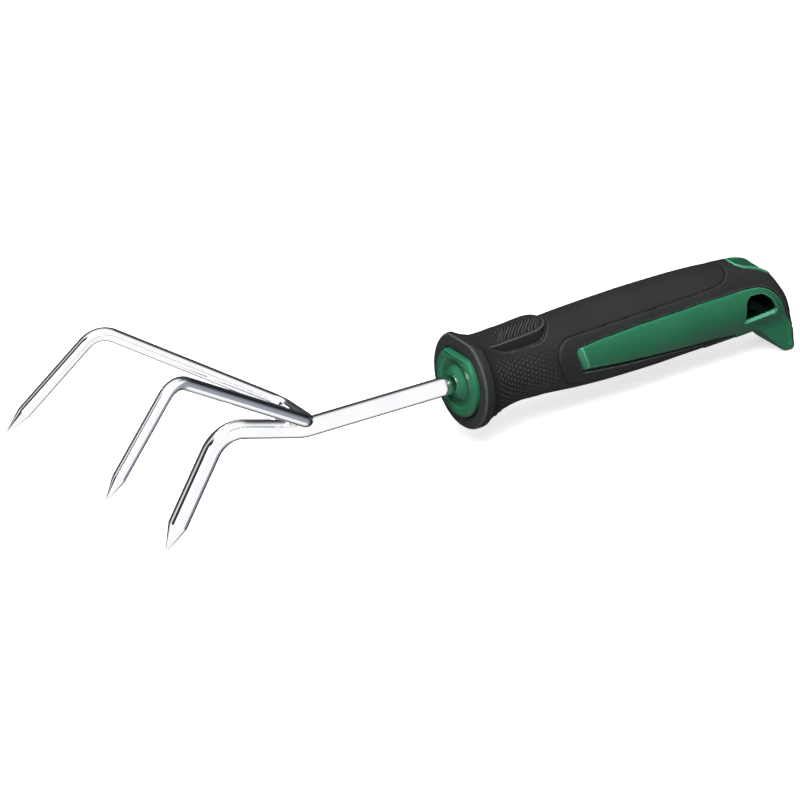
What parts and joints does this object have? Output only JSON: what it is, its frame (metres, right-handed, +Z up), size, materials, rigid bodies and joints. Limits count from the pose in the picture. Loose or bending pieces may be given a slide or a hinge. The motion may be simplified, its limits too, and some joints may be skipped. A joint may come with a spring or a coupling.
{
  "type": "hand cultivator",
  "caption": "Garden hand cultivator: pointed bent steel tines and shank in a moulded grip with a soft overmould, a thumb rest and a hooked, holed end.",
  "frame": {"origin": "middle of the bounding box on the surface the tool stands on, where the centre tine's point and the hook's tip touch it", "axes": "+X along the handle from the tines to the hooked end, +Z up, tines pointing down; the shank leans 2 degrees down towards the handle"},
  "size_m": [0.3438, 0.0802, 0.0884],
  "materials": {
    "chromed_steel": "bright chrome plate",
    "chromed_weld": "chrome plate over a weld bead, slightly rippled",
    "green_plastic": "satin moulded plastic",
    "black_soft_grip": "matt soft overmould with raised dots"
  },
  "bodies": {
    "root": {"main_rod": "chromed_steel", "side_tine_rod": "chromed_steel", "weld_bead_front": "chromed_weld", "weld_bead_rear": "chromed_weld", "handle_core": "green_plastic", "front_cap": "green_plastic", "soft_grip": "black_soft_grip"}
  },
  "joints": []
}
